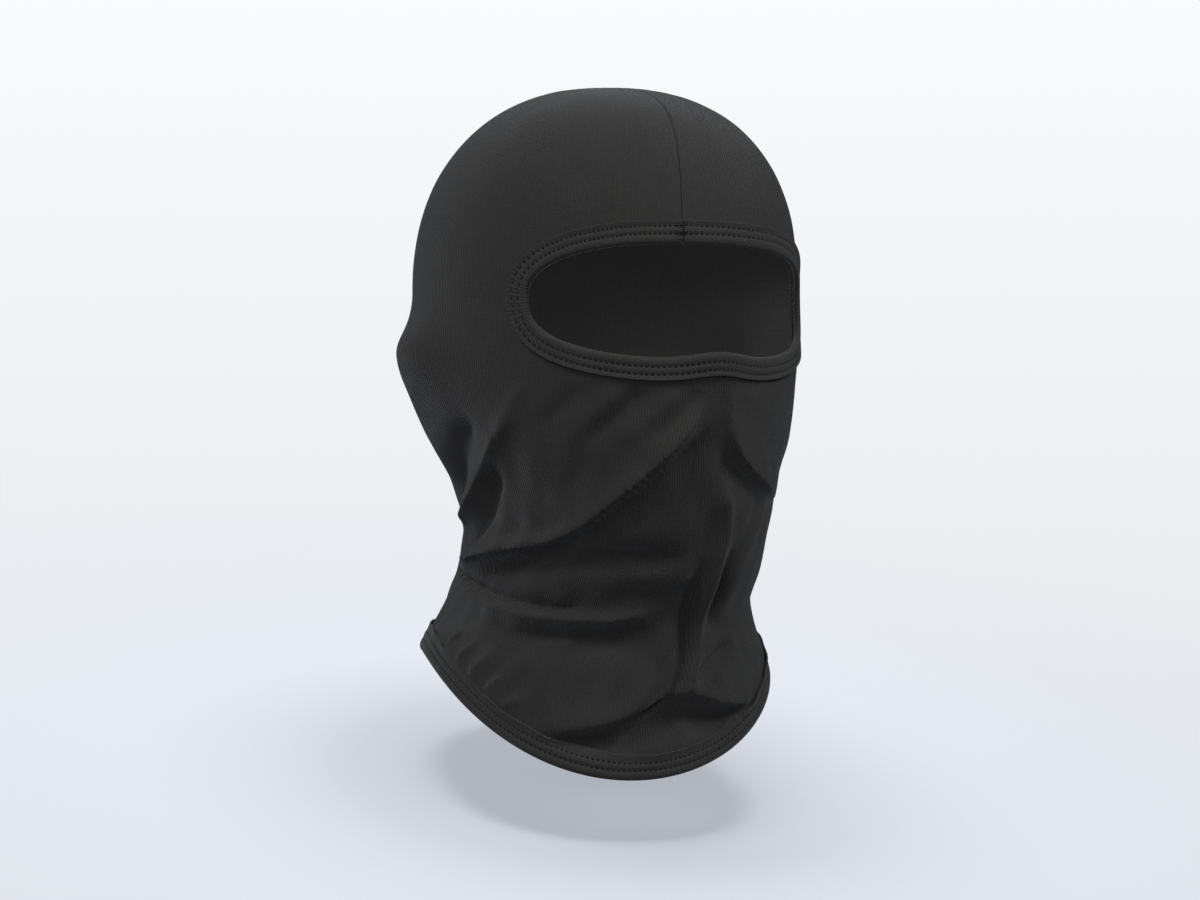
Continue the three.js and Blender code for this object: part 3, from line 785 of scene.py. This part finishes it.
def thread_finish(name, colour):
    material = bpy.data.materials.new(name)
    material.use_nodes = True
    nodes, links = material.node_tree.nodes, material.node_tree.links
    shader = nodes["Principled BSDF"]
    shader.inputs["Roughness"].default_value = 0.6
    shader.inputs["Specular IOR Level"].default_value = 0.12
    shader.inputs["Sheen Weight"].default_value = 0.03
    place = nodes.new("ShaderNodeTexCoord")
    plies = nodes.new("ShaderNodeTexNoise")
    plies.inputs["Scale"].default_value = 2600
    links.new(place.outputs["Object"], plies.inputs["Vector"])
    tone = nodes.new("ShaderNodeMix")
    tone.data_type = "RGBA"
    tone.inputs["A"].default_value = (*[0.6 * c for c in colour], 1)
    tone.inputs["B"].default_value = (*[1.4 * c for c in colour], 1)
    links.new(plies.outputs["Fac"], tone.inputs["Factor"])
    links.new(tone.outputs["Result"], shader.inputs["Base Color"])
    twist = nodes.new("ShaderNodeBump")
    twist.inputs["Strength"].default_value = 0.4
    twist.inputs["Distance"].default_value = 0.00008
    links.new(plies.outputs["Fac"], twist.inputs["Height"])
    links.new(twist.outputs["Normal"], shader.inputs["Normal"])
    return material


black_thread = thread_finish("black_thread", (0.007, 0.007, 0.008))
STITCH_RINGS = [(0.0, -0.30, 0.20), (0.14, -0.02, 0.44), (0.36, 0.10, 0.50), (0.64, 0.10, 0.50),
                (0.86, -0.02, 0.44), (1.0, -0.30, 0.20)]


# Faces of a tube with closed ends, ring after ring.
def tube_faces(count, sides):
    faces = []
    for i in range(count - 1):
        for k in range(sides):
            a, b = i * sides + k, i * sides + (k + 1) % sides
            faces.append((a, b, b + sides, a + sides))
    faces.append(tuple(reversed(range(sides))))
    faces.append(tuple((count - 1) * sides + k for k in range(sides)))
    return faces


# Closed stitches from starts to ends. Each ring has its place along the stitch, its rise and its half size.
def stitches(starts, ends, outs, thick):
    way = ends - starts
    side = np.cross(way, outs)
    side /= np.linalg.norm(side, axis=1, keepdims=True)
    sides = 6
    turns_round = np.arange(sides) / sides * 2 * math.pi
    points, faces = [], []
    for share, rise, half in STITCH_RINGS:
        middle = starts + way * share + outs * rise * thick
        for turn in turns_round:
            sideways = side * math.cos(turn) * half * thick
            upwards = outs * math.sin(turn) * half * 0.8 * thick
            points.append(middle + sideways + upwards)
    points = np.stack(points, 1)
    one = tube_faces(len(STITCH_RINGS), sides)
    size = points.shape[1]
    for i in range(len(points)):
        faces += [tuple(i * size + corner for corner in face) for face in one]
    return points.reshape(-1, 3), faces


# One thread lying along a route of points. The guide is a direction that no thread runs along for long.
def thread_along(route, half):
    way = np.gradient(route, axis=0)
    way /= np.linalg.norm(way, axis=1, keepdims=True)
    guide = np.array([0.31, 0.22, 0.92])
    side = np.cross(way, guide)
    side /= np.linalg.norm(side, axis=1, keepdims=True)
    up = np.cross(side, way)
    sides = 6
    around = np.arange(sides) / sides * 2 * math.pi
    points = [route + side * math.cos(a) * half + up * math.sin(a) * half for a in around]
    return np.stack(points, 1).reshape(-1, 3), tube_faces(len(route), sides)


def sewn(name, points, faces, node):
    piece = mesh_object(name, points, faces)
    piece.data.materials.append(black_thread)
    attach(piece, "root")
    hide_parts(node)
    return piece


def needle_row(name, place, at, run, margin, lift, node):
    start_run = stitch_starts(run)
    ends = []
    for reach in (0.24, 0.76):
        where = np.interp(start_run + reach * STITCH, run, at)
        ends.append(on_edge(place, where, margin, ROW_HEIGHT + 0.22 + lift(where, margin)))
    middle = np.interp(start_run + STITCH / 2, run, at)
    outs = edge_spot(place, middle, margin)[1]
    points, faces = stitches(ends[0], ends[1], outs, THREAD)
    return sewn(name, points, faces, node)


def looper(name, place, at, run, node):
    spots = np.arange(1.5, run[-1] - 1.5, STITCH / 8)
    swing = 0.5 - 0.5 * np.cos(2 * math.pi * spots / STITCH)
    swing = ease_in(swing, 0.12, 0.88)
    margin = FIRST_ROW + (SECOND_ROW - FIRST_ROW) * swing
    height = LOOPER_HEIGHT - 0.12 * np.sin(math.pi * swing)
    where = np.interp(spots + 0.35 * np.sin(4 * math.pi * spots / STITCH), run, at)
    points, faces = thread_along(on_edge(place, where, margin, height), LOOPER_HALF)
    return sewn(name, points, faces, node)


# The tack: a few stitches close together that hold the overlapped ends of the strip.
def tack(name, place, low, high, width, lift, node):
    margins = np.linspace(1.1, width - 1.1, 8)
    starts = on_edge(place, low, margins, TACK_HEIGHT + lift(low, margins))
    ends = on_edge(place, high, margins + 0.35, TACK_HEIGHT + lift(high, margins))
    outs = edge_spot(place, low, margins)[1]
    points, faces = stitches(starts, ends, outs, THREAD)
    return sewn(name, points, faces, node)


for edge, place, at, run, width, lift, half_turn, joint in (
    ("eye", eye_place, eye_at, eye_run, EYE_BINDING, eye_lift, TACK_REACH / eye_half_arc, 3 * math.pi),
    ("hem", hem_place, hem_at, hem_run, HEM_BINDING, hem_lift, TACK_REACH / hem_radius, math.pi),
):
    needle_row(f"{edge}_inner_row", place, at, run, FIRST_ROW, lift, f"{edge}_inner_needle_thread")
    needle_row(f"{edge}_outer_row", place, at, run, SECOND_ROW, lift, f"{edge}_outer_needle_thread")
    looper(f"{edge}_looper", place, at, run, f"{edge}_looper_thread")
    tack(f"{edge}_tack", place, joint - half_turn, joint + half_turn, width, lift, f"{edge}_joint_tack")

# ==== Crown and back seam ====
# The panel's long edges are sewn together by an overlock machine: a needle thread goes through both turned
# in allowances, and a looper thread wraps their raw edges. Outside, only the needle thread shows.
SEAM_STITCH = 2.4
NEEDLE_SIDE = 1.15
NEEDLE_DEPTH = 3.3
seam_start = seam_top_at_eye - EYE_BINDING - 2.0
seam_end = side_drop - HEM_BINDING - 3.0
front_drops = np.arange(seam_start, 1.0, -0.3)
back_drops = np.arange(1.0, seam_end, 0.3)
seam_turns = np.concatenate([np.zeros(len(front_drops)), np.full(len(back_drops), math.pi)])
seam_drops = np.concatenate([front_drops, back_drops])
seam_line = cloth(seam_turns, seam_drops)
seam_left, _, seam_out = cloth_axes(seam_turns, seam_drops)
seam_left = np.where(seam_turns[:, None] > 1, -seam_left, seam_left)
seam_steps = np.linalg.norm(np.diff(seam_line, axis=0), axis=1)
seam_run = np.concatenate([[0], np.cumsum(seam_steps)])


def beside_seam(spots, side, depth):
    def along(values):
        return np.stack([np.interp(spots, seam_run, values[:, k]) for k in range(3)], -1)

    aside = along(seam_left) * np.asarray(side)[..., None]
    inwards = along(seam_out) * np.asarray(depth)[..., None]
    return along(seam_line) + aside - inwards


seam_spots = np.arange(1.0, seam_run[-1] - 3.4, SEAM_STITCH)
needle_points, needle_faces = [], []


def sew_needle(starts, ends, outs, thick):
    points, faces = stitches(starts, ends, outs, thick)
    first = sum(len(earlier) for earlier in needle_points)
    needle_points.append(points)
    needle_faces.extend(tuple(first + corner for corner in face) for face in faces)


for way in (-1, 1):
    starts = beside_seam(seam_spots + 0.2, way * NEEDLE_SIDE, NEEDLE_DEPTH)
    ends = beside_seam(seam_spots + 2.1, way * NEEDLE_SIDE, NEEDLE_DEPTH)
    face_of_stitch = beside_seam(seam_spots + 1.1, way * NEEDLE_SIDE, NEEDLE_DEPTH)
    outs = beside_seam(seam_spots + 1.1, way * (NEEDLE_SIDE + 1), NEEDLE_DEPTH) - face_of_stitch
    sew_needle(starts, ends, outs, THREAD)

# In the outer groove the needle thread shows as a fine bar across the gap at each stitch.
BAR_SIDE = 0.55
BAR_DEPTH = 0.42
BAR_THREAD = 0.3
starts = beside_seam(seam_spots, -BAR_SIDE, BAR_DEPTH)
ends = beside_seam(seam_spots + 0.25, BAR_SIDE, BAR_DEPTH)
outs = beside_seam(seam_spots, 0, -1) - beside_seam(seam_spots, 0, 0)
sew_needle(starts, ends, outs, BAR_THREAD)
sewn("seam_needle_row", np.vstack(needle_points), needle_faces, "crown_and_back_seam_needle_thread")

# The looper thread swings over the raw edges from one side to the other.
wrap_spots = np.arange(1.0, seam_run[-1] - 1.0, SEAM_STITCH / 12)
swing = math.pi * wrap_spots / SEAM_STITCH
wrap_side = 1.25 * np.tanh(2.2 * np.cos(swing))
wrap_depth = 6.2 - 2.6 * np.abs(np.cos(swing)) ** 1.5
points, faces = thread_along(beside_seam(wrap_spots, wrap_side, wrap_depth), LOOPER_HALF)
sewn("seam_overlock", points, faces, "crown_and_back_seam_looper_thread")

# ==== Studio ====
# A pale sheet of paper just under the hem, soft lamps in front and above, and the camera at the wearer's
# right. None of it belongs to the balaclava.
PAPER_RADII = (1200, 3000)
PAPER_SIDES = 64
middle = (Vector(cad_low) + Vector(cad_high)) / 2
floor_height = cad_low[2] - 0.014
paper_points = [(0, 0, 0)]
for radius in PAPER_RADII:
    for angle in np.linspace(0, 2 * math.pi, PAPER_SIDES, endpoint=False):
        paper_points.append((math.cos(angle) * radius, math.sin(angle) * radius, 0))
paper_faces = []
for k in range(PAPER_SIDES):
    a, b = 1 + k, 1 + (k + 1) % PAPER_SIDES
    paper_faces.append((0, a, b))
    paper_faces.append((a, a + PAPER_SIDES, b + PAPER_SIDES, b))
floor = mesh_object("paper", paper_points, paper_faces)
floor.location.z = floor_height
floor.rotation_euler.x = math.radians(11)
floor.visible_diffuse = False
paper = bpy.data.materials.new("pale_paper")
paper.use_nodes = True
nodes, links = paper.node_tree.nodes, paper.node_tree.links
shader = nodes["Principled BSDF"]
shader.inputs["Base Color"].default_value = (0.60, 0.62, 0.65, 1)
shader.inputs["Emission Color"].default_value = (0.357, 0.374, 0.417, 1)
shader.inputs["Emission Strength"].default_value = 1
shader.inputs["Roughness"].default_value = 1
shader.inputs["Specular IOR Level"].default_value = 0
place = nodes.new("ShaderNodeTexCoord")
reach = nodes.new("ShaderNodeVectorMath")
reach.operation = "LENGTH"
links.new(place.outputs["Object"], reach.inputs[0])
fade = nodes.new("ShaderNodeMapRange")
fade.interpolation_type = "SMOOTHSTEP"
fade.inputs["From Min"].default_value = 0.12
fade.inputs["From Max"].default_value = 0.62
links.new(reach.outputs["Value"], fade.inputs["Value"])
links.new(fade.outputs["Result"], shader.inputs["Alpha"])
fade.inputs["To Min"].default_value = 1
fade.inputs["To Max"].default_value = 0
floor.data.materials.append(paper)

world = bpy.data.worlds.new("room")
world.use_nodes = True
bpy.context.scene.world = world
nodes, links = world.node_tree.nodes, world.node_tree.links
room_light = nodes["Background"]
room_light.inputs["Strength"].default_value = 0.16
backdrop = nodes.new("ShaderNodeBackground")
backdrop.inputs["Strength"].default_value = 1
direction = nodes.new("ShaderNodeTexCoord")
upward = nodes.new("ShaderNodeSeparateXYZ")
links.new(direction.outputs["Generated"], upward.inputs["Vector"])
pale = nodes.new("ShaderNodeValToRGB")
height = nodes.new("ShaderNodeMapRange")
height.inputs["From Min"].default_value = -0.195
height.inputs["From Max"].default_value = 0.125
links.new(upward.outputs["Z"], height.inputs["Value"])
links.new(height.outputs["Result"], pale.inputs["Fac"])
pale.color_ramp.elements[0].color = (0.761, 0.770, 0.799, 1)
pale.color_ramp.elements[1].color = (0.951, 0.964, 1.0, 1)
links.new(pale.outputs["Color"], backdrop.inputs["Color"])
ceiling = nodes.new("ShaderNodeValToRGB")
ceiling.color_ramp.elements[0].position = 0.3
ceiling.color_ramp.elements[0].color = (0.10, 0.11, 0.13, 1)
ceiling.color_ramp.elements[1].position = 0.8
ceiling.color_ramp.elements[1].color = (0.86, 0.92, 1.0, 1)
overhead = nodes.new("ShaderNodeMapRange")
overhead.inputs["From Min"].default_value = -1
links.new(upward.outputs["Z"], overhead.inputs["Value"])
links.new(overhead.outputs["Result"], ceiling.inputs["Fac"])
links.new(ceiling.outputs["Color"], room_light.inputs["Color"])
rays = nodes.new("ShaderNodeLightPath")
seen = nodes.new("ShaderNodeMixShader")
links.new(rays.outputs["Is Camera Ray"], seen.inputs["Fac"])
links.new(room_light.outputs["Background"], seen.inputs[1])
links.new(backdrop.outputs["Background"], seen.inputs[2])
links.new(seen.outputs["Shader"], nodes["World Output"].inputs["Surface"])


# Angles in degrees round from the front and up, distance and size in metres.
def softbox(name, azimuth, elevation, distance, size, watts, tint):
    lamp = bpy.data.lights.new(name, "AREA")
    lamp.shape = "DISK"
    lamp.size = size
    lamp.energy = watts
    lamp.color = tint
    holder = bpy.data.objects.new(name, lamp)
    turned, raised = math.radians(azimuth), math.radians(elevation)
    level = math.cos(raised)
    way = Vector((math.sin(turned) * level, -math.cos(turned) * level, math.sin(raised)))
    holder.location = middle + way * distance
    holder.rotation_euler = (-way).to_track_quat("-Z", "Y").to_euler()
    bpy.context.scene.collection.objects.link(holder)


softbox("front_softbox", -34, 12, 1.9, 0.5, 6.4, (1.0, 0.985, 0.965))
softbox("left_softbox", -74, 48, 1.5, 0.6, 7.6, (1.0, 0.985, 0.96))
softbox("right_softbox", 38, 40, 1.5, 0.6, 8.4, (1.0, 0.985, 0.96))
softbox("back_softbox", 160, 40, 1.6, 1.2, 6, (0.95, 0.97, 1.0))

# One more lamp hangs straight above and lights the paper only; the others leave the paper out.
softbox("paper_softbox", 0, 86, 1.2, 0.95, 12.6, (1.0, 1.0, 1.0))
for lamp in [item for item in bpy.data.objects if item.type == "LIGHT"]:
    lit = bpy.data.collections.new(f"{lamp.name}_on")
    lit.objects.link(floor)
    lamp.light_linking.receiver_collection = lit
    if lamp.name != "paper_softbox":
        lit.collection_objects[0].light_linking.link_state = "EXCLUDE"

# A small lamp in the middle of the head, so that the inside of the cloth can be seen through the openings.
inner_lamp = bpy.data.lights.new("inner_lamp", "POINT")
inner_lamp.energy = 0.12
inner_lamp.shadow_soft_size = 0.03
inner_holder = bpy.data.objects.new("inner_lamp", inner_lamp)
inner_holder.location = (-0.016, 0.0, -0.12)
inner_holder.visible_camera = False
bpy.context.scene.collection.objects.link(inner_holder)

VIEW_TURN = math.radians(-28)
VIEW_RISE = math.radians(2)
VIEW_DISTANCE = 1.25
aim = middle - Vector((0.0027, -0.0015, 0.0114))
camera_data = bpy.data.cameras.new("camera")
camera_data.lens = 84.9
camera = bpy.data.objects.new("camera", camera_data)
sideways = math.sin(VIEW_TURN) * math.cos(VIEW_RISE)
backwards = -math.cos(VIEW_TURN) * math.cos(VIEW_RISE)
camera.location = aim + VIEW_DISTANCE * Vector((sideways, backwards, math.sin(VIEW_RISE)))
camera.rotation_euler = (aim - camera.location).to_track_quat("-Z", "Y").to_euler()
bpy.context.scene.collection.objects.link(camera)
bpy.context.scene.camera = camera
bpy.context.scene.view_settings.view_transform = "Standard"
